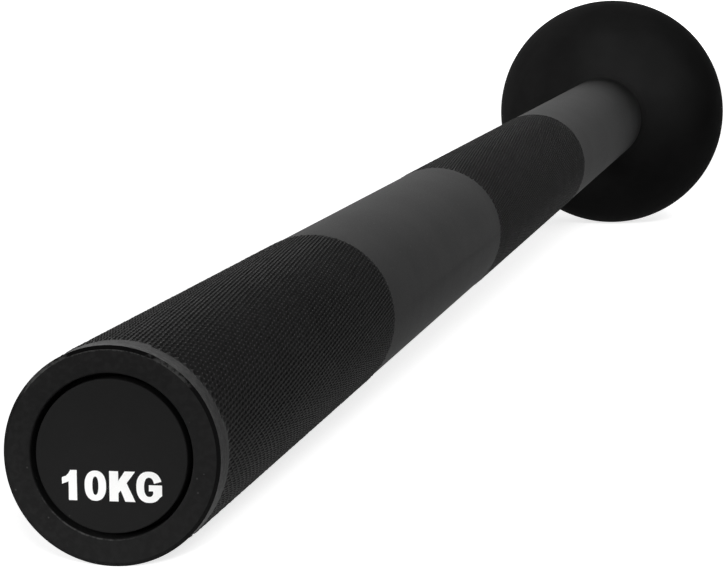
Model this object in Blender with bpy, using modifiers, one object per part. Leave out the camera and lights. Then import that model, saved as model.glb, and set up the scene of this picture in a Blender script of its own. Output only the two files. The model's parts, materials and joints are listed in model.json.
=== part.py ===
"""A long mace for strength training: a knurled steel tube with a solid ball head.

Every piece is turned about the mace's own axis, +Z from the grip end's face to the ball. One
empty carries them all and lays the mace on the floor the way it rests by itself, on its ball and
on the lower edge of the grip end, with the grip end towards -Y.
"""

import math

import bmesh
import bpy
from mathutils import Vector

# Shaft tube
TUBE_DIAMETER = 0.040
TUBE_WALL = 0.005
EXPOSED_LENGTH = 0.888
FACE_CHAMFER = 0.0006
BORE_CHAMFER = 0.0003
HIDDEN_END_CHAMFER = 0.0012

# Knurled bands, counted from the grip end's face
END_BAND_LENGTH = 0.007
GRIP_KNURL_LENGTH = 0.172
MIDDLE_PLAIN_LENGTH = 0.188
FRONT_KNURL_LENGTH = 0.250
KNURL_RISE = 0.0002
KNURL_CHAMFER = 0.0005

# Ball head and the blind socket that takes the tube
BALL_DIAMETER = 0.114
SOCKET_DEPTH = 0.040
SOCKET_CLEARANCE = 0.0003

# Fillet weld round the socket's mouth
WELD_LEG = 0.0025
WELD_HOLLOW = 0.0003
WELD_CLEARANCE = 0.0003

# End plug: a disc in the tube's mouth on a hollow stem with ring fins
PLUG_RECESS = 0.0002
PLUG_GROOVE = 0.001
PLUG_DISC_THICKNESS = 0.003
PLUG_DISC_ROUND = 0.0004
PLUG_STEM_DIAMETER = 0.022
PLUG_STEM_WALL = 0.0025
PLUG_STEM_LENGTH = 0.023
FIN_COUNT = 4
FIN_PITCH = 0.005
FIN_ROOT_THICKNESS = 0.0018
FIN_TIP_THICKNESS = 0.0007
FIN_RAKE = 0.0012
FIN_CLEARANCE = 0.0003

# Facets. A count that leaves a remainder of 2 by 4 puts a flat, not a ridge, underneath.
SHAFT_STEPS = 70
BALL_STEPS = 70
PLUG_STEPS = 50
BALL_ARC_STEP = math.radians(5)
WELD_ARC_STEPS = 4
PLUG_ROUND_STEPS = 3
SHARP_ANGLE = math.radians(28)
AXIS_MERGE = 0.00001

# Sizes that follow from those above
TUBE_RADIUS = TUBE_DIAMETER / 2
BORE_RADIUS = TUBE_RADIUS - TUBE_WALL
BALL_RADIUS = BALL_DIAMETER / 2
BALL_CENTRE = EXPOSED_LENGTH + math.sqrt(BALL_RADIUS**2 - TUBE_RADIUS**2)
TUBE_LENGTH = EXPOSED_LENGTH + SOCKET_DEPTH


def clear_scene():
    for obj in list(bpy.data.objects):
        bpy.data.objects.remove(obj, do_unlink=True)


def new_collection(name):
    collection = bpy.data.collections.new(name)
    bpy.context.scene.collection.children.link(collection)
    return collection


def new_material(name, colour, roughness, metallic):
    """A Principled material of one linear colour."""
    material = bpy.data.materials.new(name)
    material.use_nodes = True
    shader = material.node_tree.nodes["Principled BSDF"]
    shader.inputs["Base Color"].default_value = (*colour, 1)
    shader.inputs["Roughness"].default_value = roughness
    shader.inputs["Metallic"].default_value = metallic
    return material


def arc(centre, radius, start, end, steps):
    """Points (r, z) on a circle. Angles are taken from the +Z axis towards +X."""
    points = []
    for step in range(steps + 1):
        angle = start + (end - start) * step / steps
        points.append((centre[0] + radius * math.sin(angle), centre[1] + radius * math.cos(angle)))
    return points


def turned(name, profile, closed, steps, material, collection, parent):
    """A solid of revolution about Z.

    The profile is a list of (r, z) points that runs down its outer side. It is closed where the
    piece has a hole right through, and otherwise starts and ends on the axis.
    """
    outline = bmesh.new()
    points = [outline.verts.new((r, 0, z)) for r, z in profile]
    for first, second in zip(points, points[1:]):
        outline.edges.new((first, second))
    if closed:
        outline.edges.new((points[-1], points[0]))
    mesh = bpy.data.meshes.new(name)
    outline.to_mesh(mesh)
    outline.free()

    piece = bpy.data.objects.new(name, mesh)
    collection.objects.link(piece)
    screw = piece.modifiers.new("Turn", "SCREW")
    screw.axis = "Z"
    screw.steps = steps
    screw.render_steps = steps
    screw.use_merge_vertices = True
    screw.merge_threshold = AXIS_MERGE
    shade_round(piece)
    piece.data.materials.append(material)
    piece.parent = parent
    return piece


def shade_round(piece):
    """Swaps the modifiers for their result, smooth across its curves and sharp at its edges."""
    evaluated = piece.evaluated_get(bpy.context.evaluated_depsgraph_get())
    mesh = bpy.data.meshes.new_from_object(evaluated)
    mesh.name = piece.name
    outline = piece.data
    piece.modifiers.clear()
    piece.data = mesh
    bpy.data.meshes.remove(outline)
    mesh.shade_smooth()
    mesh.set_sharp_from_angle(angle=SHARP_ANGLE)


def knurled_bands():
    """(start, end) of each raised band along the shaft."""
    grip_start = END_BAND_LENGTH
    grip_end = grip_start + GRIP_KNURL_LENGTH
    front_start = grip_end + MIDDLE_PLAIN_LENGTH
    return [(grip_start, grip_end), (front_start, front_start + FRONT_KNURL_LENGTH)]


def tube_profile():
    """The tube's wall: down the outside from the hidden end, across the cut face, up the bore."""
    outside = [
        (TUBE_RADIUS - HIDDEN_END_CHAMFER, TUBE_LENGTH),
        (TUBE_RADIUS, TUBE_LENGTH - HIDDEN_END_CHAMFER),
    ]
    crest = TUBE_RADIUS + KNURL_RISE
    for start, end in reversed(knurled_bands()):
        outside += [
            (TUBE_RADIUS, end),
            (crest, end - KNURL_CHAMFER),
            (crest, start + KNURL_CHAMFER),
            (TUBE_RADIUS, start),
        ]
    face = [
        (TUBE_RADIUS, FACE_CHAMFER),
        (TUBE_RADIUS - FACE_CHAMFER, 0),
        (BORE_RADIUS + BORE_CHAMFER, 0),
        (BORE_RADIUS, BORE_CHAMFER),
    ]
    return outside + face + [(BORE_RADIUS, TUBE_LENGTH)]


def ball_profile():
    """The ball from its far pole to the socket's mouth, then the socket's wall and floor."""
    socket_radius = TUBE_RADIUS + SOCKET_CLEARANCE
    socket_floor = TUBE_LENGTH + SOCKET_CLEARANCE
    mouth = math.pi - math.asin(socket_radius / BALL_RADIUS)
    outside = arc((0, BALL_CENTRE), BALL_RADIUS, 0, mouth, math.ceil(mouth / BALL_ARC_STEP))
    outside[0] = (0, BALL_CENTRE + BALL_RADIUS)
    return outside + [(socket_radius, socket_floor), (0, socket_floor)]


def weld_profile():
    """A slightly hollow fillet between the tube and the ball, just clear of both."""
    inner_radius = TUBE_RADIUS + WELD_CLEARANCE
    seat_radius = BALL_RADIUS + WELD_CLEARANCE
    root_angle = math.pi - math.asin(inner_radius / seat_radius)
    toe_angle = root_angle - WELD_LEG / seat_radius
    seat = arc((0, BALL_CENTRE), seat_radius, root_angle, toe_angle, WELD_ARC_STEPS)
    root, ball_toe = Vector(seat[0]), Vector(seat[-1])
    tube_toe = root - Vector((0, WELD_LEG))
    chord = tube_toe - ball_toe
    inwards = Vector((chord.y, -chord.x)).normalized()
    face = []
    for step in range(1, WELD_ARC_STEPS):
        share = step / WELD_ARC_STEPS
        hollow = WELD_HOLLOW * math.sin(math.pi * share)
        face.append(tuple(ball_toe + chord * share + inwards * hollow))
    return [tuple(ball_toe), *face, tuple(tube_toe), *seat[:-1]]


def plug_profile():
    """The plug from the hollow of its stem, over the open end, down the fins and over the disc."""
    disc_radius = BORE_RADIUS - PLUG_GROOVE
    disc_back = PLUG_RECESS + PLUG_DISC_THICKNESS
    stem_end = disc_back + PLUG_STEM_LENGTH
    stem_radius = PLUG_STEM_DIAMETER / 2
    hollow_radius = stem_radius - PLUG_STEM_WALL
    fin_radius = BORE_RADIUS - FIN_CLEARANCE
    points = [(0, disc_back), (hollow_radius, disc_back)]
    points += [(hollow_radius, stem_end), (stem_radius, stem_end)]
    for fin in reversed(range(FIN_COUNT)):
        root = disc_back + (fin + 1) * FIN_PITCH
        tip = root - FIN_RAKE
        points += [
            (stem_radius, root + FIN_ROOT_THICKNESS / 2),
            (fin_radius, tip + FIN_TIP_THICKNESS / 2),
            (fin_radius, tip - FIN_TIP_THICKNESS / 2),
            (stem_radius, root - FIN_ROOT_THICKNESS / 2),
        ]
    points += [(stem_radius, disc_back), (disc_radius, disc_back)]
    edge_centre = (disc_radius - PLUG_DISC_ROUND, PLUG_RECESS + PLUG_DISC_ROUND)
    points += arc(edge_centre, PLUG_DISC_ROUND, math.pi / 2, math.pi, PLUG_ROUND_STEPS)
    return points + [(0, PLUG_RECESS)]


def resting_tilt():
    """The angle by which the axis climbs to the ball, from the two circles that touch the floor."""
    run = BALL_CENTRE - FACE_CHAMFER
    reach = math.hypot(run, TUBE_RADIUS)
    return math.asin(BALL_RADIUS / reach) - math.atan2(TUBE_RADIUS, run)


def seat_on_floor(carrier, pieces):
    """Moves the carrier so that the origin is the middle of the underside of the whole mace."""
    bpy.context.view_layer.update()
    corners = [piece.matrix_world @ vertex.co for piece in pieces for vertex in piece.data.vertices]
    low = [min(corner[side] for corner in corners) for side in range(3)]
    high = [max(corner[side] for corner in corners) for side in range(3)]
    middle = Vector([(low[0] + high[0]) / 2, (low[1] + high[1]) / 2, low[2]])
    carrier.location -= middle
    bpy.context.view_layer.update()


def main():
    clear_scene()
    parts = new_collection("macebell")
    carrier = bpy.data.objects.new("mace_axis", None)
    parts.objects.link(carrier)
    carrier.rotation_euler.x = resting_tilt() - math.pi / 2

    shaft_coat = new_material("shaft_coat", (0.022, 0.022, 0.023), 0.42, 0.0)
    head_coat = new_material("head_coat", (0.012, 0.012, 0.013), 0.5, 0.0)
    weld_coat = new_material("weld_coat", (0.014, 0.014, 0.015), 0.48, 0.0)
    plug_plastic = new_material("plug_plastic", (0.013, 0.013, 0.014), 0.55, 0.0)

    pieces = [
        turned("shaft_tube", tube_profile(), True, SHAFT_STEPS, shaft_coat, parts, carrier),
        turned("ball_head", ball_profile(), False, BALL_STEPS, head_coat, parts, carrier),
        turned("weld_bead", weld_profile(), True, SHAFT_STEPS, weld_coat, parts, carrier),
        turned("end_plug", plug_profile(), False, PLUG_STEPS, plug_plastic, parts, carrier),
    ]
    seat_on_floor(carrier, pieces)


main()
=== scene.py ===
"""The look of a long strength-training mace: coated steel, cut knurl, moulded plug, solid ball.

Every piece is built about its own axis, with Z running from the grip end's face to the ball, and
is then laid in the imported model's frame by one matrix. Lengths are metres.
"""

import json
import logging
import math
from dataclasses import dataclass
from enum import Enum
from functools import cache, cached_property
from typing import Any, Callable, Iterable

import bmesh
import bpy
from mathutils import Matrix, Vector, noise


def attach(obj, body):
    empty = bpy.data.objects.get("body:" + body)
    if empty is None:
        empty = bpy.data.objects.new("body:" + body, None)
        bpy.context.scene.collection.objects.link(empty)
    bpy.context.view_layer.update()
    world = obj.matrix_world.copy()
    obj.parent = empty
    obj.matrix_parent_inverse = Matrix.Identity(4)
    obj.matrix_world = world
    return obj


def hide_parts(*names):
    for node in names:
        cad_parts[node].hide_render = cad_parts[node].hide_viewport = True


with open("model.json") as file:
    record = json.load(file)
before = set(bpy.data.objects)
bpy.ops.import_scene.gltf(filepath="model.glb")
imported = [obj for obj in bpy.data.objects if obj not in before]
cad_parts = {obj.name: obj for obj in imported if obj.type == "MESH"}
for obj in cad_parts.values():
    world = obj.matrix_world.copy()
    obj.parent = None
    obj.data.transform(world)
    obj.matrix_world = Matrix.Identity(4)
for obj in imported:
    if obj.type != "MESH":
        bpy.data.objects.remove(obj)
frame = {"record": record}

LOG = logging.getLogger("macebell")
BODY = "root"

# Sizes that several pieces share
TUBE_RADIUS = 0.019969
BORE_RADIUS = 0.01498
BALL_RADIUS = 0.0569
BALL_CENTRE = 0.941376
DISC_RECESS = 0.0002

# The tube's end: its chamfered rim, and the circles at the cut face's outside and inside that carry wear and
# painted glints
RIM_WIDTH = 0.0007
FACE_EDGE = TUBE_RADIUS - RIM_WIDTH
MOUTH_EDGE = BORE_RADIUS + 0.0001
GLINT_AND_RUB_REACH = 0.0005

Collection = bpy.types.Collection
Material = bpy.types.Material
Object = bpy.types.Object
Socket = bpy.types.NodeSocket
Three = tuple[Socket, Socket, Socket]
Tree = bpy.types.NodeTree
Colour = tuple[float, float, float]
Point = tuple[float, float]


class Slot(Enum):
    """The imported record's material slots."""

    SHAFT = "shaft_coat"
    HEAD = "head_coat"
    WELD = "weld_coat"
    PLUG = "plug_plastic"


# Node graphs


def label(name: str) -> str:
    """Turns a field's name, such as row_pitch, into its socket's, such as Row Pitch."""
    return name.replace("_", " ").title()


def as_colour(value: Any) -> Any:
    """Gives a grey or a plain colour its four parts, and leaves a socket alone."""
    value = (value,) * 3 if isinstance(value, float) else value
    return (*value, 1.0) if isinstance(value, tuple) else value


class Graph:
    """Adds nodes to a tree and wires them, one call a node.

    Its methods take plain values and sockets alike.
    """

    def __init__(self, tree: Tree) -> None:
        """Takes over a shader or geometry tree, empty or half built."""
        self.tree = tree

    def feed(self, node: bpy.types.Node, inputs: dict[Any, Any]) -> None:
        """Links a node's inputs to other sockets, or sets their values.

        Args:
            node: the node.
            inputs: values or sockets for its inputs, by name or number.
        """
        for key, value in inputs.items():
            if isinstance(value, Socket):
                self.tree.links.new(value, node.inputs[key])
            else:
                node.inputs[key].default_value = value

    def add(self, kind: str, inputs: dict[Any, Any] | None = None, **settings: Any) -> bpy.types.Node:
        """Adds one node.

        Args:
            kind: the node's type name.
            inputs: values or sockets for its inputs, by name or number.
            settings: its properties, by name.

        Returns:
            The new node.
        """
        node = self.tree.nodes.new(kind)
        for name, value in settings.items():
            setattr(node, name, value)
        self.feed(node, inputs or {})
        return node

    def declare(self, side: str, kind: str, names: Iterable[str]) -> None:
        """Gives the tree sockets of one kind on its INPUT or OUTPUT side."""
        for name in names:
            self.tree.interface.new_socket(name=name, in_out=side, socket_type="NodeSocket" + kind)

    def effect(self, effect: Callable[..., Any], **inputs: Any) -> Any:
        """Places a shared effect, its inputs named as fields, and gives its outputs."""
        named = {label(name): value for name, value in inputs.items()}
        return self.add("ShaderNodeGroup", named, node_tree=effect_tree(effect, tuple(named))).outputs

    def math(self, operation: str, first: Any, second: Any = 0.0, third: Any = 0.0) -> Socket:
        """Does one of Blender's sums on up to three numbers."""
        inputs = {0: first, 1: second, 2: third}
        return self.add("ShaderNodeMath", inputs, operation=operation).outputs[0]

    def fade(self, value: Any, low: float, high: float, to_low: float = 0.0, to_high: float = 1.0) -> Socket:
        """Maps a range to another, with soft ends."""
        inputs = {"Value": value, "From Min": low, "From Max": high, "To Min": to_low, "To Max": to_high}
        return self.add("ShaderNodeMapRange", inputs, interpolation_type="SMOOTHSTEP").outputs["Result"]

    def mix(self, share: Any, first: Any, second: Any) -> Socket:
        """Mixes two colours, by the sockets that a Mix node has for colours."""
        inputs = {0: share, 6: as_colour(first), 7: as_colour(second)}
        return self.add("ShaderNodeMix", inputs, data_type="RGBA").outputs[2]

    def cloud(self, vector: Any, scale: Any, detail: float = 2.0, roughness: float = 0.5) -> Socket:
        """A noise from 0 to 1 of so many features in a metre, with finer layers over it."""
        inputs = {"Vector": vector, "Scale": scale, "Detail": detail, "Roughness": roughness}
        return self.add("ShaderNodeTexNoise", inputs).outputs[0]


# Effects that the finishes share, each a node group made once

GRIT_FINENESS = 4.5
DRIFT_SCALE = 38.0
NOISE_SPAN = (0.3, 0.7)
WEAR_GLINT_SPAN = (0.72, 1.02)
SPECK_SOFTNESS = 0.06


@cache
def effect_tree(effect: Callable[[Graph, Any], dict[str, Socket]], names: tuple[str, ...]) -> Tree:
    """Makes a shared effect's node group.

    Args:
        effect: the function that lays its nodes.
        names: its inputs, a vector and then plain values.

    Returns:
        The group.
    """
    graph = Graph(bpy.data.node_groups.new(effect.__name__, "ShaderNodeTree"))
    graph.declare("INPUT", "Vector", names[:1])
    graph.declare("INPUT", "Float", names[1:])
    made = effect(graph, graph.add("NodeGroupInput").outputs)
    graph.declare("OUTPUT", "Float", made)
    graph.add("NodeGroupOutput", made)
    return graph.tree


def coat_grain(graph: Graph, given: Any) -> dict[str, Socket]:
    """The skin of a baked powder coat: orange peel, fine grit and slow drifts of tone.

    Args:
        graph: the group's graph.
        given: its inputs.

    Returns:
        Its outputs, by name.
    """
    scale = graph.math("DIVIDE", 1.0, given["Peel Size"])
    peel = graph.cloud(given["Vector"], scale, detail=1.0)
    grit = graph.cloud(given["Vector"], graph.math("MULTIPLY", scale, GRIT_FINENESS), roughness=0.6)
    drift = graph.cloud(given["Vector"], DRIFT_SCALE, detail=3.0, roughness=0.55)
    height = graph.math("ADD", peel, graph.math("MULTIPLY", grit, given["Grit Share"]))
    return {"Height": height, "Grit": grit, "Drift": drift}


def edge_wear_and_glint(graph: Graph, given: Any) -> dict[str, Socket]:
    """Where an edge is rubbed bare and where a glint of light is painted: its mask broken up by noise.

    Args:
        graph: the group's graph.
        given: its inputs.

    Returns:
        Its outputs, by name.
    """
    scale = graph.math("DIVIDE", 1.0, given["Break Size"])
    broken = graph.cloud(given["Vector"], scale, detail=3.0, roughness=0.65)
    reach = graph.math("MULTIPLY_ADD", given["Edge"], given["Amount"], broken)
    return {"Mask": graph.math("MULTIPLY", graph.fade(reach, *WEAR_GLINT_SPAN), given["Edge"])}


def specks(graph: Graph, given: Any) -> dict[str, Socket]:
    """Small scattered nibs, dust and pinholes.

    Args:
        graph: the group's graph.
        given: its inputs.

    Returns:
        Its outputs, by name.
    """
    scale = graph.math("DIVIDE", 1.0, given["Spacing"])
    cells = graph.add("ShaderNodeTexVoronoi", {"Vector": given["Vector"], "Scale": scale}).outputs
    split = graph.add("ShaderNodeSeparateColor", {"Color": cells["Color"]}).outputs
    chosen = graph.math("LESS_THAN", split[0], given["Share"])
    size = graph.math("MULTIPLY", given["Radius"], split[1])
    dot = graph.fade(graph.math("SUBTRACT", size, cells["Distance"]), 0.0, SPECK_SOFTNESS)
    return {"Mask": graph.math("MULTIPLY", dot, chosen)}


# Finishes


def new_material(name: str) -> tuple[Material, Graph, bpy.types.Node]:
    """Starts a material with one Principled shader.

    Args:
        name: the material's name.

    Returns:
        The material, its graph and the shader.
    """
    material = bpy.data.materials.new(name)
    material.use_nodes = True
    return material, Graph(material.node_tree), material.node_tree.nodes["Principled BSDF"]


@dataclass(frozen=True, kw_only=True)
class Finish:
    """What all finishes have: a grain that varies their roughness and raises their bumps."""

    name: str
    roughness: float
    roughness_swing: float = 0.05
    specular: float
    grain_size: float
    grit_share: float = 0.3
    bump_height: float

    @cached_property
    def material(self) -> Material:
        """Builds the finish's material, the first time that a piece asks for it.

        Returns:
            The material.
        """
        material, graph, shader = new_material(self.name)
        place = graph.add("ShaderNodeTexCoord").outputs["Object"]
        grain = graph.effect(coat_grain, vector=place, peel_size=self.grain_size, grit_share=self.grit_share)
        low, high = self.roughness - self.roughness_swing, self.roughness + self.roughness_swing
        rough = graph.fade(grain["Grit"], *NOISE_SPAN, low, high)
        tone, rough, relief = self.paint(graph, place, grain, rough)
        bump = graph.add("ShaderNodeBump", {"Strength": 1.0, "Distance": self.bump_height, "Height": relief})
        inputs = {"Base Color": tone, "Roughness": rough, "Normal": bump.outputs["Normal"]}
        graph.feed(shader, {**inputs, "Specular IOR Level": self.specular})
        return material

    def paint(self, graph: Graph, place: Socket, grain: Any, rough: Socket) -> Three:
        """Works out a kind of finish's colour, roughness and relief from its place and grain."""
        raise NotImplementedError


@dataclass(frozen=True, kw_only=True)
class Coat(Finish):
    """A black skin, powder coat or moulded plastic, with specks in it, rubbed wear, painted glints and
    painted shade.
    """

    dark: float
    light: float
    # A coat worn thin; on the rim this colour lifts the painted shade on its lit side
    thin: float = 0.018
    worn: Colour = (0.06, 0.06, 0.059)
    speck_colour: Colour = (0.04, 0.04, 0.039)
    speck_spacing: float = 0.002
    speck_radius: float = 0.22
    speck_share: float = 0.0
    speck_height: float = 0.8
    wear_glint_amount: float = 0.0
    wear_glint_size: float = 0.0016
    wear_glint_smoothing: float = 0.12
    thin_smoothing: float = 0.0
    patch_span: Point = (0.5, 0.85)
    least_patch: float = 0.55

    def paint(self, graph: Graph, place: Socket, grain: Any, rough: Socket) -> Three:
        """Lays specks, wear and painted glints over the grain, by the mesh's edge and thin attributes.

        Args:
            graph: the material's graph.
            place: the place on the piece.
            grain: the grain's outputs.
            rough: the grain's roughness.

        Returns:
            The colour, the roughness and the height of the bumps.
        """
        # The edge attribute carries rubbed wear and painted glints of light; on the rim the thin attribute
        # marks the lit side of a painted shade
        edge, thin = (
            graph.add("ShaderNodeAttribute", attribute_name=name).outputs["Fac"] for name in ("edge", "thin")
        )
        wear_and_glints = graph.effect(
            edge_wear_and_glint, vector=place, edge=edge, amount=self.wear_glint_amount, break_size=self.wear_glint_size
        )["Mask"]
        nibs = graph.effect(
            specks, vector=place, spacing=self.speck_spacing, radius=self.speck_radius, share=self.speck_share
        )["Mask"]
        patchy = graph.fade(grain["Height"], *self.patch_span, self.least_patch, 1.0)
        thin = graph.math("MULTIPLY", thin, patchy)
        tone = graph.mix(graph.fade(grain["Drift"], *NOISE_SPAN), self.dark, self.light)
        for share, colour in ((thin, self.thin), (nibs, self.speck_colour), (wear_and_glints, self.worn)):
            tone = graph.mix(share, tone, colour)
        for share, smoothing in ((thin, self.thin_smoothing), (wear_and_glints, self.wear_glint_smoothing)):
            rough = graph.math("MULTIPLY_ADD", share, -smoothing, rough)
        return tone, rough, graph.math("MULTIPLY_ADD", nibs, self.speck_height, grain["Height"])


@dataclass(frozen=True, kw_only=True)
class PadPrint(Finish):
    """Pale pad-printed ink, a little thin in places."""

    ink: Colour
    thin: Colour
    thin_span: Point = (0.78, 1.0)
    most_thin: float = 0.5

    def paint(self, graph: Graph, place: Socket, grain: Any, rough: Socket) -> Three:
        """Thins the ink on the grain's crests."""
        thin = graph.fade(grain["Height"], *self.thin_span, 0.0, self.most_thin)
        return graph.mix(thin, self.ink, self.thin), rough, grain["Height"]


# Its wear colour lays rubbed wear and painted glints of light at the cut face's edges
SHAFT_COAT = Coat(
    name="satin_black_coat",
    dark=0.008,
    light=0.012,
    roughness=0.6,
    specular=0.018,
    grain_size=0.0011,
    bump_height=0.000012,
    speck_spacing=0.0012,
    speck_share=0.22,
    wear_glint_amount=0.5,
    wear_glint_size=0.0007,
    thin_smoothing=0.2,
)
# The rim's chamfer is painted near black with no gloss: a painted shade, dark on its top and right, with
# painted glints on its upper side
RIM_SHADE_COAT = Coat(
    name="cut_edge_painted_shade",
    dark=0.0045,
    light=0.0085,
    thin=0.019,
    roughness=0.9,
    specular=0.0,
    grain_size=0.0006,
    grit_share=0.5,
    bump_height=0.00003,
    wear_glint_amount=0.56,
    wear_glint_size=0.0009,
)
KNURL_COAT = Coat(
    name="knurl_coat",
    dark=0.0105,
    light=0.0155,
    worn=(0.04, 0.04, 0.039),
    roughness=0.6,
    roughness_swing=0.06,
    specular=0.046,
    grain_size=0.0005,
    bump_height=0.000008,
    speck_colour=(0.05, 0.05, 0.048),
    speck_share=0.05,
    wear_glint_amount=0.2,
)
HEAD_COAT = Coat(
    name="matt_black_coat",
    dark=0.010,
    light=0.0135,
    roughness=0.92,
    roughness_swing=0.04,
    specular=0.012,
    grain_size=0.0014,
    bump_height=0.00002,
)
PLUG_PLASTIC = Coat(
    name="plug_plastic_black",
    dark=0.0038,
    light=0.0052,
    roughness=0.74,
    roughness_swing=0.06,
    specular=0.13,
    grain_size=0.0003,
    grit_share=0.5,
    bump_height=0.000004,
    speck_colour=(0.035, 0.034, 0.033),
    speck_spacing=0.0016,
    speck_radius=0.12,
    speck_share=0.12,
    speck_height=0.0,
)
WHITE_INK = PadPrint(
    name="white_ink",
    ink=(0.95, 0.95, 0.94),
    thin=(0.84, 0.84, 0.83),
    roughness=0.525,
    roughness_swing=0.075,
    specular=0.5,
    grain_size=0.0004,
    grit_share=0.4,
    bump_height=0.00001,
)


# Shapes

AXIS_MERGE = 0.000005
SHARP_ANGLE = math.radians(40)

# The mace's own axis, by the mount on the grip end's face, whose point lies beside the face's centre
MOUNT = next(mount for mount in frame["record"]["mounts"] if mount["name"] == "grip_end_face")
FACE_CENTRE = Vector((0.0, *MOUNT["pos_m"][1:]))
TO_BALL = -Vector(MOUNT["axis"])

# Lays a piece that is built about Z along the axis, with its X kept level
SIDE = Vector((1.0, 0.0, 0.0))
LAY = Matrix.Translation(FACE_CENTRE) @ Matrix((SIDE, TO_BALL.cross(SIDE), TO_BALL)).transposed().to_4x4()


def arc(centre: Point, radius: float, start: float, end: float, steps: int) -> list[Point]:
    """Points (r, z) on a circle from one angle to another, counted from the +Z side towards +r."""
    angles = (start + (end - start) * step / steps for step in range(steps + 1))
    return [(centre[0] + radius * math.sin(turn), centre[1] + radius * math.cos(turn)) for turn in angles]


def supported(profile: list[Point], margin: float, closed: bool) -> list[Point]:
    """Adds a point close to each end of every long straight, so that rounds shade cleanly.

    Args:
        profile: the points of the outline.
        margin: how far from its ends a straight gets its points.
        closed: whether the last point joins the first.

    Returns:
        The outline with the added points.
    """
    result = []
    for index in range(len(profile) if closed else len(profile) - 1):
        first, second = Vector(profile[index]), Vector(profile[(index + 1) % len(profile)])
        result.append(tuple(first))
        run = second - first
        if run.length > 3 * margin:
            step = run.normalized() * margin
            result += [tuple(first + step), tuple(second - step)]
    return result if closed else [*result, profile[-1]]


def turned_object(name: str, profile: list[Point], steps: int, closed: bool) -> Object:
    """Turns an outline about Z.

    Args:
        name: the object's name.
        profile: its outline (r, z), which runs down its outer side.
        steps: sides of the turned shape.
        closed: whether the outline is a ring, as for a piece with a hole right through.

    Returns:
        The object, with its modifiers applied.
    """
    outline = bmesh.new()
    points = [outline.verts.new((r, 0.0, z)) for r, z in profile]
    for first, second in zip(points, points[1:] + points[:1] if closed else points[1:]):
        outline.edges.new((first, second))
    mesh = bpy.data.meshes.new(name)
    outline.to_mesh(mesh)
    outline.free()
    piece = linked_object(name, mesh)
    screw = piece.modifiers.new("Turn", "SCREW")
    screw.axis = "Z"
    screw.steps = screw.render_steps = steps
    screw.use_merge_vertices = True
    screw.merge_threshold = AXIS_MERGE
    bake_modifiers(piece)
    piece.data.shade_smooth()
    piece.data.set_sharp_from_angle(angle=SHARP_ANGLE)
    return piece


def linked_object(name: str, data: Any) -> Object:
    """Puts an object in the scene.

    Args:
        name: its name.
        data: its mesh, curve, lamp or camera.

    Returns:
        The object.
    """
    made = bpy.data.objects.new(name, data)
    bpy.context.scene.collection.objects.link(made)
    return made


def bake_modifiers(piece: Object) -> None:
    """Swaps an object's modifiers for the mesh that they make.

    Args:
        piece: the object.
    """
    mesh = bpy.data.meshes.new_from_object(piece.evaluated_get(bpy.context.evaluated_depsgraph_get()))
    outline = piece.data
    piece.modifiers.clear()
    piece.data = mesh
    mesh.name = piece.name
    bpy.data.meshes.remove(outline)


# Edge marks lay rubbed wear, a thinned coat, painted glints of light and the lit side of a painted shade
@dataclass(frozen=True)
class EdgeMark:
    """A circle of a turned piece where its coat is marked, most at one angle round it.

    The angle is in degrees anticlockwise from the right, seen from the grip end. The mark fades
    to nothing at the reach away from the circle, and at the spread on both sides of the angle.
    """

    radius: float
    reach: float
    middle: float
    spread: float
    height: float = 0.0

    def strength(self, place: Vector) -> float:
        """How strongly one place is marked.

        Args:
            place: the place about the piece's own axis.

        Returns:
            0 for an unmarked coat to 1 for the most marked.
        """
        away = math.dist((math.hypot(place.x, place.y), place.z), (self.radius, self.height))
        turn = math.degrees(math.atan2(-place.y, place.x)) - self.middle
        off = ((turn + 180.0) % 360.0 - 180.0) / self.spread
        return max(0.0, 1.0 - away / self.reach) * max(0.0, 1.0 - off**2)


def mark_edge_circles(piece: Object, name: str, edge_marks: tuple[EdgeMark, ...]) -> None:
    """Writes an attribute that says how strongly each place of a turned piece is marked.

    Args:
        piece: the piece, still about its own axis.
        name: the attribute, "edge" for bare wear and painted glints of light, "thin" for a thinned coat and a
            lifted painted shade.
        edge_marks: its marked circles.
    """
    attribute = piece.data.attributes.new(name, "FLOAT", "POINT")
    for vertex in piece.data.vertices:
        attribute.data[vertex.index].value = max(rub.strength(vertex.co) for rub in edge_marks)


def finish_piece(piece: Object, finish: Finish, slot: Slot, *nodes: str) -> None:
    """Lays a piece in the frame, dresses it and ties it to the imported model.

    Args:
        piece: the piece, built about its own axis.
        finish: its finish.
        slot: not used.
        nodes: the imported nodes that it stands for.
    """
    piece.data.transform(LAY)
    piece.data.update()
    piece.data.materials.clear()
    piece.data.materials.append(finish.material)
    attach(piece, BODY)
    if nodes:
        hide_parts(*nodes)
    LOG.info("%s: %d faces", piece.name, len(piece.data.polygons))


# Sub-assemblies


@dataclass(frozen=True)
class KnurlPattern:
    """The cut diamonds: how many run round, how long, how deep and how twisted they are.

    The twist is in radians for a metre of shaft, because one knurling wheel bites a little
    steeper than the other. The grooves rise to the plain surface over the run-out at each end.
    """

    starts: int = 74
    row_pitch: float = 0.001335
    twist: float = 4.1
    root_radius: float = 0.01966
    crest_radius: float = 0.02017
    land_share: float = 0.24
    least_height: float = 0.86
    inner_radius: float = 0.0192
    run_out: float = 0.0007
    ragged: float = 0.0006
    seed: int = 7


@dataclass(frozen=True)
class KnurlBand:
    """One knurled band: its name, where it lies and how unevenly it starts.

    The wheels first bit at one angle, and the band starts later all round it by the lead-in.
    """

    name: str
    start: float
    end: float
    lead_in: float = 0.0
    bite_angle: float = 0.0


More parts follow.
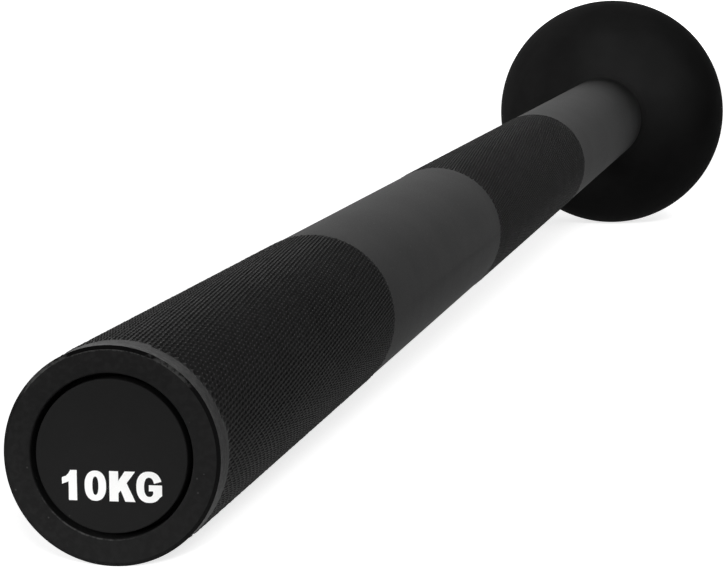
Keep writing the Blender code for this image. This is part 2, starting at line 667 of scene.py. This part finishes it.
class KnurlTree(Graph):
    """The node tree that cuts a band of diamonds round a cylinder.

    The diamonds are laid out flat, one step wide each and staggered row by row, then wrapped
    round the axis. Those that reach past the band's ends are cut off square there.
    """

    INPUTS = {
        "Int": ("Starts", "Rows", "Seed"),
        "Float": (
            *("Start", "Row Pitch", "Twist", "Plain Radius", "Run Out", "Ragged", "Lead In", "Bite Angle"),
            *("Root Radius", "Crest Radius", "Inner Radius", "Land Share", "Least Height"),
        ),
        "Material": ("Material",),
    }
    WELD_DISTANCE = 0.000002
    BITE_SPAN = (0.75, 1.0)
    RAGGED_SCALE = 420.0
    BACK_ROWS = 4

    def __init__(self) -> None:
        """Builds the whole tree."""
        super().__init__(bpy.data.node_groups.new("diamond_knurl", "GeometryNodeTree"))
        for kind, names in self.INPUTS.items():
            self.declare("INPUT", kind, names)
        self.declare("OUTPUT", "Geometry", ("Geometry",))
        self.given = self.add("NodeGroupInput").outputs
        joined = self.add("GeometryNodeJoinGeometry")
        for part in (self.wrapped(self.diamond_sheet()), self.back()):
            self.tree.links.new(part, joined.inputs[0])
        mesh = joined.outputs[0]
        for kind, inputs in (
            ("MergeByDistance", {"Distance": self.WELD_DISTANCE}),
            ("SetShadeSmooth", {"Shade Smooth": False}),
            ("RealizeInstances", {}),
            ("SetMaterial", {"Material": self.given["Material"]}),
        ):
            mesh = self.add("GeometryNode" + kind, {"Geometry": mesh, **inputs}).outputs[0]
        self.add("NodeGroupOutput", {0: mesh})

    def numbered_grid(self, columns: Any, rows: Any) -> Three:
        """Makes a grid whose points know their places in it.

        Args:
            columns: how many columns it has.
            rows: how many rows.

        Returns:
            The grid, and the column and row of each of its points.
        """
        grid = self.add("GeometryNodeMeshGrid", {"Vertices X": columns, "Vertices Y": rows})
        index = self.add("GeometryNodeInputIndex").outputs[0]
        column = self.math("FLOOR", self.math("DIVIDE", self.math("ADD", index, 0.5), rows))
        return grid.outputs[0], column, self.math("SUBTRACT", index, self.math("MULTIPLY", column, rows))

    def place(self, geometry: Socket, spot: Socket) -> Socket:
        """Moves geometry's points to their spots."""
        return self.add("GeometryNodeSetPosition", {"Geometry": geometry, "Position": spot}).outputs[0]

    def vector(self, x: Any, y: Any, z: Any = 0.0) -> Socket:
        """A vector from its three parts."""
        return self.add("ShaderNodeCombineXYZ", {"X": x, "Y": y, "Z": z}).outputs[0]

    def on_circle(self, angle: Socket, radius: Socket, along: Socket) -> Socket:
        """A place from its angle in radians, its distance from the axis and its height along it."""
        across, up = (self.math("MULTIPLY", self.math(wave, angle), radius) for wave in ("COSINE", "SINE"))
        return self.vector(across, up, along)

    def diamond_sheet(self) -> Socket:
        """Lays the diamonds out flat: X in steps round the band, Y along it, Z from 0 to 1.

        Returns:
            The realised sheet.
        """
        given = self.given
        grid, column, row = self.numbered_grid(given["Starts"], self.math("ADD", given["Rows"], 1))
        stagger = self.math("MULTIPLY", self.math("MODULO", row, 2), 0.5)
        along = self.math("MULTIPLY_ADD", row, given["Row Pitch"], given["Start"])
        spots = self.place(grid, self.vector(self.math("ADD", column, stagger), along))
        base = self.add("GeometryNodeMeshCircle", {"Vertices": 4, "Radius": 0.5}, fill_type="NGON")
        raised = self.add(
            "GeometryNodeExtrudeMesh",
            {"Mesh": base.outputs[0], "Offset": (0.0, 0.0, 1.0), "Offset Scale": 1.0, "Individual": False},
            mode="FACES",
        ).outputs
        tooth = self.add(
            "GeometryNodeScaleElements",
            {"Geometry": raised["Mesh"], "Selection": raised["Top"], "Scale": given["Land Share"]},
        )
        # Inputs 2 and 3 and output 1 are the node's plain numbers
        heights = {2: given["Least Height"], 3: 1.0, "Seed": given["Seed"]}
        height = self.add("FunctionNodeRandomValue", heights, data_type="FLOAT").outputs[1]
        size = self.vector(1.0, self.math("MULTIPLY", given["Row Pitch"], 2), height)
        teeth = self.add(
            "GeometryNodeInstanceOnPoints", {"Points": spots, "Instance": tooth.outputs[0], "Scale": size}
        )
        return self.add("GeometryNodeRealizeInstances", {"Geometry": teeth.outputs[0]}).outputs[0]

    def wrapped(self, sheet: Socket) -> Socket:
        """Rolls the flat sheet up round the axis, twists it and cuts it square at the band's ends.

        Args:
            sheet: the flat sheet.

        Returns:
            The rolled sheet, with its heights kept in the edge attribute.
        """
        given = self.given
        place = self.add("GeometryNodeInputPosition").outputs[0]
        across, flat_along, height = self.add("ShaderNodeSeparateXYZ", {0: place}).outputs
        end = self.math("MULTIPLY_ADD", given["Rows"], given["Row Pitch"], given["Start"])
        along = self.math("MAXIMUM", self.math("MINIMUM", flat_along, end), given["Start"])
        straight = self.math("DIVIDE", self.math("MULTIPLY", across, math.tau), given["Starts"])
        angle = self.math("SUBTRACT", straight, self.math("MULTIPLY", along, given["Twist"]))
        filled = self.run_out(angle, along, end)
        crests = self.math("MULTIPLY", height, self.math("SUBTRACT", 1.0, filled))
        marked = self.add(
            "GeometryNodeStoreNamedAttribute",
            {"Geometry": sheet, "Name": "edge", "Value": crests},
            data_type="FLOAT",
            domain="POINT",
        )
        depth = self.math("SUBTRACT", given["Crest Radius"], given["Root Radius"])
        knurled = self.math("MULTIPLY_ADD", height, depth, given["Root Radius"])
        rise = self.math("MULTIPLY", self.math("SUBTRACT", given["Plain Radius"], knurled), filled)
        return self.place(marked.outputs[0], self.on_circle(angle, self.math("ADD", knurled, rise), along))

    def run_out(self, angle: Socket, along: Socket, end: Socket) -> Socket:
        """How far the grooves have risen to the plain surface, ragged like a real knurl's ends.

        Args:
            angle: the place's angle round the axis.
            along: its height along the axis.
            end: where the band stops.

        Returns:
            0 well inside the band, 1 at its ends.
        """
        given = self.given
        facing = self.math("COSINE", self.math("SUBTRACT", angle, given["Bite Angle"]))
        late = self.fade(facing, *self.BITE_SPAN, 1.0, 0.0)
        bitten = self.math("MULTIPLY_ADD", late, given["Lead In"], given["Start"])
        room = self.math("MINIMUM", self.math("SUBTRACT", along, bitten), self.math("SUBTRACT", end, along))
        spot = self.on_circle(angle, given["Plain Radius"], along)
        ragged = self.math("MULTIPLY", self.cloud(spot, self.RAGGED_SCALE), given["Ragged"])
        return self.fade(self.math("SUBTRACT", room, ragged), 0.0, given["Run Out"], 1.0, 0.0)

    def back(self) -> Socket:
        """The band's two end rings and its inner wall, whose rim meets the diamonds' corners.

        Returns:
            The back's geometry.
        """
        given = self.given
        columns = self.math("MULTIPLY_ADD", given["Starts"], 2, 1)
        grid, column, row = self.numbered_grid(columns, self.BACK_ROWS)
        step = self.math("DIVIDE", math.pi, given["Starts"])
        middle = (self.BACK_ROWS - 1) / 2
        at_rim = self.math("GREATER_THAN", self.math("ABSOLUTE", self.math("SUBTRACT", row, middle)), 1.0)
        drop = self.math("SUBTRACT", given["Plain Radius"], given["Inner Radius"])
        radius = self.math("MULTIPLY_ADD", at_rim, drop, given["Inner Radius"])
        length = self.math("MULTIPLY", given["Rows"], given["Row Pitch"])
        along = self.math("MULTIPLY_ADD", self.math("LESS_THAN", row, middle), length, given["Start"])
        turned = self.math("MULTIPLY", self.math("MULTIPLY", along, given["Twist"]), -1.0)
        slip = self.math("MULTIPLY", self.math("FLOORED_MODULO", turned, step), at_rim)
        angle = self.math("MULTIPLY_ADD", column, step, slip)
        return self.place(grid, self.on_circle(angle, radius, along))


@dataclass
class ShaftTube:
    """The steel tube: its plain stretches, cut face and bore, its rim and its knurled bands."""

    length: float = 0.928
    face_sink: float = 0.000002
    rim_depth: float = 0.00035
    bore_round: float = 0.0003
    round_steps: int = 5
    hidden_chamfer: float = 0.0012
    bed_gap: float = 0.00005
    margin: float = 0.00012
    steps: int = 512
    pattern: KnurlPattern = KnurlPattern()
    bands: tuple[KnurlBand, ...] = (
        KnurlBand("grip_knurl", 0.0052, 0.179, lead_in=0.0016, bite_angle=math.radians(-45)),
        KnurlBand("front_knurl", 0.367, 0.617),
    )
    # Rubbed wear and painted glints of light, on the bore's edge at the lower left and on the face's outer
    # edge at the top
    core_wear_and_glints: tuple[EdgeMark, ...] = (
        EdgeMark(MOUTH_EDGE, GLINT_AND_RUB_REACH, middle=245.0, spread=60.0),
        EdgeMark(FACE_EDGE, GLINT_AND_RUB_REACH, middle=92.0, spread=52.0),
    )
    core_thin: tuple[EdgeMark, ...] = (
        EdgeMark(0.0185, reach=0.01, middle=0.0, spread=1000.0, height=0.001),
    )
    # Rubbed wear and painted glints of light on the rim's upper side
    rim_wear_and_glints: tuple[EdgeMark, ...] = (
        EdgeMark(FACE_EDGE, reach=0.004, middle=55.0, spread=20.0),
        EdgeMark(FACE_EDGE, reach=0.004, middle=130.0, spread=26.0),
    )
    # The lit side of the rim's painted shade, on the lower left, where its thin colour lifts it to the face's
    # tone
    rim_lit_side: tuple[EdgeMark, ...] = (EdgeMark(FACE_EDGE, reach=0.02, middle=240.0, spread=125.0),)

    def core_profile(self) -> list[Point]:
        """The plain tube's wall, with a bed for each knurled band and a corner for the rim.

        Returns:
            The outline: down the outside, across the face and up the bore.
        """
        bed = self.pattern.inner_radius - self.bed_gap
        outside = [
            (TUBE_RADIUS - self.hidden_chamfer, self.length),
            (TUBE_RADIUS, self.length - self.hidden_chamfer),
        ]
        for band in reversed(self.bands):
            outside += [(TUBE_RADIUS, band.end), (bed, band.end)]
            outside += [(bed, band.start), (TUBE_RADIUS, band.start)]
        centre = (BORE_RADIUS + self.bore_round, self.face_sink + self.bore_round)
        inner_round = arc(centre, self.bore_round, math.pi, 1.5 * math.pi, self.round_steps)
        outer, front, corner = self.rim_profile()
        edge_marks = (FACE_EDGE - GLINT_AND_RUB_REACH, BORE_RADIUS + self.bore_round + GLINT_AND_RUB_REACH)
        face = [outer, corner, front, *((radius, self.face_sink) for radius in edge_marks), *inner_round]
        return supported(outside + face + [(BORE_RADIUS, self.length)], self.margin, True)

    def rim_profile(self) -> list[Point]:
        """The rim's section, a triangle whose long side is the chamfer round the cut face.

        Returns:
            The chamfer's two ends, from the outside inwards, and the corner behind it.
        """
        back = self.face_sink + self.rim_depth
        return [(TUBE_RADIUS, back), (FACE_EDGE, self.face_sink), (FACE_EDGE, back)]

    def build(self) -> None:
        """Builds the tube, its rim and both bands."""
        # The core carries wear and painted glints at its face; the rim carries a painted shade, lifted on its
        # lit side
        for name, profile, finish, wear_and_glints, thin in (
            ("shaft_core", self.core_profile(), SHAFT_COAT, self.core_wear_and_glints, self.core_thin),
            ("mouth_rim", self.rim_profile(), RIM_SHADE_COAT, self.rim_wear_and_glints, self.rim_lit_side),
        ):
            piece = turned_object(name, profile, self.steps, True)
            mark_edge_circles(piece, "edge", wear_and_glints)
            mark_edge_circles(piece, "thin", thin)
            finish_piece(piece, finish, Slot.SHAFT, "shaft_tube")
        tree = KnurlTree().tree
        for band in self.bands:
            finish_piece(self.knurl(band, tree), KNURL_COAT, Slot.SHAFT, "shaft_tube")

    def knurl(self, band: KnurlBand, tree: Tree) -> Object:
        """Cuts one band of diamonds.

        Args:
            band: the band.
            tree: the knurl's node tree, whose inputs are named as the fields are.

        Returns:
            The band as a plain closed mesh.
        """
        piece = linked_object(band.name, bpy.data.meshes.new(band.name))
        modifier = piece.modifiers.new("Knurl", "NODES")
        modifier.node_group = tree
        length = band.end - band.start
        rows = round(length / self.pattern.row_pitch)
        fields = {**vars(self.pattern), **vars(band), "rows": rows, "row_pitch": length / rows}
        fields |= {"plain_radius": TUBE_RADIUS, "material": KNURL_COAT.material}
        values = {label(name): value for name, value in fields.items()}
        for item in tree.interface.items_tree:
            if item.in_out == "INPUT":
                modifier[item.identifier] = values[item.name]
        bake_modifiers(piece)
        return piece


@dataclass
class BallHead:
    """The cast ball with the blind socket that takes the tube."""

    socket_radius: float = 0.0203
    socket_floor: float = 0.9283
    rings: int = 110
    steps: int = 192
    cast_swell: float = 0.00003
    cast_size: float = 0.016
    skin_share: float = 0.999

    def build(self) -> None:
        """Builds the ball."""
        mouth = math.pi - math.asin(self.socket_radius / BALL_RADIUS)
        profile = arc((0.0, BALL_CENTRE), BALL_RADIUS, 0.0, mouth, self.rings)
        profile[0] = (0.0, BALL_CENTRE + BALL_RADIUS)
        profile += [(self.socket_radius, self.socket_floor), (0.0, self.socket_floor)]
        ball = turned_object("ball_shell", profile, self.steps, False)
        self.roughen(ball)
        finish_piece(ball, HEAD_COAT, Slot.HEAD, "ball_head")

    def roughen(self, ball: Object) -> None:
        """Gives the casting its slight unevenness.

        Args:
            ball: the ball, about its own axis.
        """
        centre = Vector((0.0, 0.0, BALL_CENTRE))
        for vertex in ball.data.vertices:
            ray = vertex.co - centre
            if ray.length > BALL_RADIUS * self.skin_share:
                vertex.co += ray.normalized() * noise.noise(vertex.co / self.cast_size) * self.cast_swell


@dataclass
class WeldBead:
    """The dressed fillet between the tube and the ball."""

    leg: float = 0.0025
    hollow: float = 0.0003
    seat_steps: int = 5
    face_steps: int = 10
    steps: int = 256
    ripples: int = 96
    ripple_height: float = 0.00005
    ripple_reach: float = 0.7
    wander: float = 3.0
    wander_scale: float = 6.0

    def build(self) -> None:
        """Builds the bead."""
        root_angle = math.pi - math.asin(TUBE_RADIUS / BALL_RADIUS)
        toe_angle = root_angle - self.leg / BALL_RADIUS
        seat = arc((0.0, BALL_CENTRE), BALL_RADIUS, root_angle, toe_angle, self.seat_steps)
        root, ball_toe = Vector(seat[0]), Vector(seat[-1])
        tube_toe = root - Vector((0.0, self.leg))
        chord = tube_toe - ball_toe
        inwards = Vector((chord.y, -chord.x)).normalized()
        shares = [step / self.face_steps for step in range(1, self.face_steps)]
        hollows = [self.hollow * math.sin(math.pi * share) for share in shares]
        face = [ball_toe + chord * share + inwards * hollow for share, hollow in zip(shares, hollows)]
        profile = [*map(tuple, (ball_toe, *face, tube_toe)), *seat[:-1]]
        bead = turned_object("weld_fillet", profile, self.steps, True)
        self.ripple(bead, (ball_toe + tube_toe) / 2)
        finish_piece(bead, HEAD_COAT, Slot.WELD, "weld_bead")

    def ripple(self, bead: Object, middle: Vector) -> None:
        """Lays the weld's faint ripples across its face.

        Args:
            bead: the bead, about its own axis.
            middle: the middle of its face (r, z).
        """
        for vertex in bead.data.vertices:
            radius = math.hypot(vertex.co.x, vertex.co.y)
            away = math.dist((radius, vertex.co.z), middle)
            share = max(0.0, 1.0 - away / (self.leg * self.ripple_reach))
            angle = math.atan2(vertex.co.y, vertex.co.x)
            stray = noise.noise(Vector((math.cos(angle), math.sin(angle), 0.0)) * self.wander_scale)
            wave = math.sin(self.ripples * angle + self.wander * stray)
            grow = 1.0 + share * wave * self.ripple_height / radius
            vertex.co.x *= grow
            vertex.co.y *= grow


@dataclass
class EndPlug:
    """The moulded plug: a disc in the tube's mouth on a hollow stem with ring fins."""

    groove: float = 0.001
    disc_thickness: float = 0.003
    disc_round: float = 0.00025
    round_steps: int = 5
    stem_radius: float = 0.011
    stem_wall: float = 0.0025
    stem_length: float = 0.023
    fins: int = 4
    fin_pitch: float = 0.005
    fin_root: float = 0.0018
    fin_tip: float = 0.0007
    fin_rake: float = 0.0012
    fin_clearance: float = 0.0003
    margin: float = 0.00008
    steps: int = 192

    def build(self) -> None:
        """Builds the plug."""
        plug = turned_object("plug_moulding", self.profile(), self.steps, False)
        finish_piece(plug, PLUG_PLASTIC, Slot.PLUG, "end_plug")

    def profile(self) -> list[Point]:
        """The plug's outline.

        Returns:
            Points from the hollow of the stem, over its open end, down the fins to the disc.
        """
        disc_radius = BORE_RADIUS - self.groove
        disc_back = DISC_RECESS + self.disc_thickness
        stem_end = disc_back + self.stem_length
        hollow = self.stem_radius - self.stem_wall
        fin_radius = BORE_RADIUS - self.fin_clearance
        points = [(0.0, disc_back), (hollow, disc_back), (hollow, stem_end), (self.stem_radius, stem_end)]
        for fin in reversed(range(self.fins)):
            root = disc_back + (fin + 1) * self.fin_pitch
            tip = root - self.fin_rake
            points += [
                (self.stem_radius, root + self.fin_root / 2),
                (fin_radius, tip + self.fin_tip / 2),
                (fin_radius, tip - self.fin_tip / 2),
                (self.stem_radius, root - self.fin_root / 2),
            ]
        points += [(self.stem_radius, disc_back), (disc_radius, disc_back)]
        centre = (disc_radius - self.disc_round, DISC_RECESS + self.disc_round)
        points += arc(centre, self.disc_round, math.pi / 2, math.pi, self.round_steps)
        return supported([*points, (0.0, DISC_RECESS)], self.margin, False)


@dataclass
class WeightMark:
    """The plain printed weight on the plug's disc, drawn from straight strokes and ovals.

    The outlines of its glyphs, 1, 0, K and G, are drawn in boxes of height 1.
    """

    height: float = 0.00547
    drop: float = 0.005383
    ink: float = 0.00003
    weld_distance: float = 0.000001
    stem: float = 0.3
    side: float = 0.26
    cap: float = 0.195
    widths: tuple[float, ...] = (0.505, 0.725, 0.87, 0.86)
    gaps: tuple[float, ...] = (0.26, 0.11, 0.035, 0.0)
    oval_power: float = 2.3
    oval_steps: int = 40

    def build(self) -> None:
        """Builds the mark."""
        curve = bpy.data.curves.new("weight_mark", "CURVE")
        curve.dimensions = "2D"
        curve.fill_mode = "BOTH"
        curve.extrude = self.ink / 2
        left = -(sum(self.widths) + sum(self.gaps)) / 2
        for outlines, width, gap in zip(self.glyphs(), self.widths, self.gaps):
            for outline in outlines:
                spline = curve.splines.new("POLY")
                spline.points.add(len(outline) - 1)
                spline.use_cyclic_u = True
                for point, (x, y) in zip(spline.points, outline):
                    point.co = ((left + x) * self.height, (y - 0.5) * self.height - self.drop, 0.0, 1.0)
            left += width + gap
        flat = linked_object("weight_mark_outline", curve)
        mesh = bpy.data.meshes.new_from_object(flat.evaluated_get(bpy.context.evaluated_depsgraph_get()))
        bpy.data.objects.remove(flat, do_unlink=True)
        weld = bmesh.new()
        weld.from_mesh(mesh)
        bmesh.ops.remove_doubles(weld, verts=weld.verts, dist=self.weld_distance)
        bmesh.ops.recalc_face_normals(weld, faces=weld.faces)
        weld.to_mesh(mesh)
        weld.free()
        mesh.name = "weight_mark"
        lift = Matrix.Translation((0.0, 0.0, DISC_RECESS - self.ink / 2))
        mesh.transform(lift @ Matrix.Rotation(math.pi, 4, "X"))
        finish_piece(linked_object("weight_mark", mesh), WHITE_INK, Slot.PLUG)

    def oval(self, width: float, inset: Point, start: float = 0.0, end: float = 360.0) -> list[Point]:
        """A squarish oval in a glyph's box, or a stretch of one.

        Args:
            width: the glyph's width.
            inset: how far inside the box's sides and its top it stays.
            start: where it starts, in degrees anticlockwise from the right.
            end: where it ends.

        Returns:
            Its points, with both ends.
        """
        points, power = [], 2 / self.oval_power
        for step in range(self.oval_steps + 1):
            turn = math.radians(start + (end - start) * step / self.oval_steps)
            x, y = (math.copysign(abs(part) ** power, part) for part in (math.cos(turn), math.sin(turn)))
            points.append((width / 2 + (width / 2 - inset[0]) * x, 0.5 + (0.5 - inset[1]) * y))
        return points

    def glyphs(self) -> list[list[list[Point]]]:
        """Draws the glyphs.

        Returns:
            The outlines of each.
        """
        one, zero, k, g = self.widths
        inner, stem = one - self.stem * 0.93, self.stem
        foot = [(inner, 0.62), (inner, 0.0), (one, 0.0), (one, 1.0), (inner + 0.06, 1.0)]
        arm = [(stem, 1.0), (stem, 0.68), (0.52, 1.0), (k, 1.0), (0.58, 0.61)]
        leg = [(k, 0.0), (0.53, 0.0), (0.38, 0.37), (stem, 0.27), (stem, 0.0)]
        outside, inside = (
            self.oval(g, inset, 19.0, 322.0) for inset in ((0.0, -0.015), (self.side, self.cap - 0.015))
        )
        bar = [(g, 0.22), (g, 0.57), (0.42, 0.57), (0.42, 0.37), (0.56, 0.37)]
        return [
            [[(0.0, 0.53), *foot, (0.22, 0.88), (0.13, 0.80), (0.0, 0.75)]],
            [self.oval(zero, inset)[:-1] for inset in ((0.0, 0.0), (self.side, self.cap))],
            [[(0.0, 0.0), (0.0, 1.0), *arm, *leg]],
            [[*outside, *bar, *reversed(inside)]],
        ]


# Studio


@dataclass(frozen=True)
class Lamp:
    """What all lamps have: a name, a direction and the level of a surface that faces them.

    The azimuth is in degrees anticlockwise from the grip end, seen from above, and the height in
    degrees above the floor. A level of 1 is full white.
    """

    name: str
    azimuth: float
    height: float
    level: float

    def hang(self, kind: str, energy: float) -> tuple[Object, Vector]:
        """Puts the lamp in the scene, turned to shine from its direction.

        Args:
            kind: Blender's name for its kind.
            energy: its energy.

        Returns:
            The lamp, and a vector of length 1 towards it.
        """
        turn, up = math.radians(self.azimuth), math.radians(self.height)
        towards = Vector((math.sin(turn) * math.cos(up), -math.cos(turn) * math.cos(up), math.sin(up)))
        lamp = linked_object(self.name, bpy.data.lights.new(self.name, kind))
        lamp.data.energy = energy
        lamp.rotation_euler = towards.to_track_quat("Z", "Y").to_euler()
        return lamp, towards


@dataclass(frozen=True)
class SoftLamp(Lamp):
    """A lamp so far off that it lights its whole group alike, and so wide that shadows are soft."""

    spread: float

    def build(self, lights: Collection, shaded: Collection | None = None) -> None:
        """Hangs the lamp.

        Args:
            lights: the light group that it shines on.
            shaded: the light group that throws its shadows, or None for everything.
        """
        lamp, _ = self.hang("SUN", self.level * math.pi)
        lamp.data.angle = math.radians(self.spread)
        lamp.light_linking.receiver_collection = lights
        lamp.light_linking.blocker_collection = shaded


@dataclass(frozen=True)
class BeamLamp(Lamp):
    """A lamp with a soft round beam, aimed beside one point of the mace's axis."""

    width: float
    along: float = BALL_CENTRE
    beside: tuple[float, float, float] = (0.0, 0.0, 0.0)
    distance: float = 1.2
    bulb: float = 0.03

    def build(self) -> None:
        """Hangs the lamp. Its level is for the middle of its beam."""
        lamp, towards = self.hang("SPOT", self.level * (math.tau * self.distance) ** 2)
        lamp.data.spot_size = 2 * math.atan(self.width / 2 / self.distance)
        lamp.data.spot_blend = 1.0
        lamp.data.shadow_soft_size = self.bulb
        lamp.location = FACE_CENTRE + TO_BALL * self.along + Vector(self.beside) + towards * self.distance
        lamp.visible_camera = False


@dataclass
class Studio:
    """The white sweep, the lamps and the camera."""

    floor_radius: float = 12.0
    wall_height: float = 3.0
    sweep_sides: int = 96
    pale: float = 0.8
    bounce: float = 0.5
    floor_glow: float = 0.76
    wall_glow: float = 1.0
    surround: float = 0.2
    soft_lamps: tuple[SoftLamp, ...] = (
        SoftLamp("key_lamp", 315, 20, level=0.876, spread=45),
        SoftLamp("rim_lamp", 225, 20, level=0.277, spread=45),
        SoftLamp("back_lamp", 180, 20, level=0.401, spread=45),
    )
    floor_lamp: SoftLamp = SoftLamp("floor_lamp", 18, 21, level=0.73, spread=10)
    beam_lamps: tuple[BeamLamp, ...] = (
        BeamLamp("face_lamp", 8, 14, level=0.57, width=0.095, along=0.0, beside=(-0.01, 0.0, -0.016)),
        BeamLamp("head_lamp", 20, 21.5, level=2.8, width=0.038),
        BeamLamp("low_lamp", 20, 4, level=0.26, width=0.06, beside=(0.01, 0.0, -0.036)),
    )
    camera_from_face: tuple[float, float, float] = (0.13169, -0.46116, 0.07357)
    camera_pitch: float = -5.197
    camera_yaw: float = 10.575
    clip_start: float = 0.01
    focal_pixels: float = 2716.9
    image_width: int = 727
    sensor_width: float = 36.0

    def build(self) -> None:
        """Builds it all."""
        rim, top = (self.floor_radius, 0.0), (self.floor_radius, self.wall_height)
        floor = self.build_backdrop("studio_floor", [rim, (0.0, 0.0)], self.floor_glow)
        wall = self.build_backdrop("studio_wall", [top, rim], self.wall_glow)
        self.build_world()
        floor_alone = self.light_group("floor_alone", floor, "INCLUDE")
        self.floor_lamp.build(floor_alone, self.light_group("all_but_wall", wall, "EXCLUDE"))
        above_floor = self.light_group("all_but_floor", floor, "EXCLUDE")
        for lamp in self.soft_lamps:
            lamp.build(above_floor)
        for lamp in self.beam_lamps:
            lamp.build()
        self.build_camera()
        bpy.context.scene.view_settings.view_transform = "Standard"

    def light_group(self, name: str, part: Object, state: str) -> Collection:
        """Makes a group for lamps: one part of the sweep alone, or everything but that part.

        Args:
            name: the group's name.
            part: the part of the sweep.
            state: "INCLUDE" for the part alone, "EXCLUDE" for everything but it.

        Returns:
            The group.
        """
        group = bpy.data.collections.new(name)
        group.objects.link(part)
        group.collection_objects[0].light_linking.link_state = state
        return group

    def build_backdrop(self, name: str, profile: list[Point], glow: float) -> Object:
        """Makes one part of the round sweep, white to the eye, on which a soft shadow still shows.

        Args:
            name: the part's name.
            profile: its outline (r, z).
            glow: what it adds to its own lit tone, as the camera, gloss and glass see it.

        Returns:
            The part.
        """
        part = turned_object(name, profile, self.sweep_sides, False)
        material, graph, shader = new_material(name)
        path = graph.add("ShaderNodeLightPath").outputs
        seen = graph.math("MAXIMUM", path["Is Camera Ray"], path["Is Glossy Ray"])
        seen = graph.math("MAXIMUM", seen, path["Is Transmission Ray"])
        tone, strength = graph.mix(seen, self.bounce, self.pale), graph.math("MULTIPLY", seen, glow)
        graph.feed(shader, {"Base Color": tone, "Roughness": 1.0, "Specular IOR Level": 0.0})
        graph.feed(shader, {"Emission Color": as_colour(1.0), "Emission Strength": strength})
        part.data.materials.append(material)
        return part

    def build_world(self) -> None:
        """Makes the plain grey room over the sweep."""
        world = bpy.data.worlds.new("studio")
        world.use_nodes = True
        tree = world.node_tree
        Graph(tree).feed(tree.nodes["Background"], {"Color": as_colour(1.0), "Strength": self.surround})
        bpy.context.scene.world = world

    def build_camera(self) -> None:
        """Places the camera at the photograph's viewpoint."""
        data = bpy.data.cameras.new("camera")
        data.sensor_width = self.sensor_width
        data.lens = self.sensor_width * self.focal_pixels / self.image_width
        data.clip_start = self.clip_start
        camera = linked_object("camera", data)
        camera.location = FACE_CENTRE + Vector(self.camera_from_face)
        camera.rotation_euler = (math.radians(90 + self.camera_pitch), 0.0, math.radians(self.camera_yaw))
        bpy.context.scene.camera = camera


def main() -> None:
    """Builds every piece of the mace, then the studio."""
    logging.basicConfig(level=logging.INFO, format="%(name)s: %(message)s")
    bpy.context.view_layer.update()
    for part in (ShaftTube(), BallHead(), WeldBead(), EndPlug(), WeightMark(), Studio()):
        part.build()


if __name__ == "__main__":
    main()
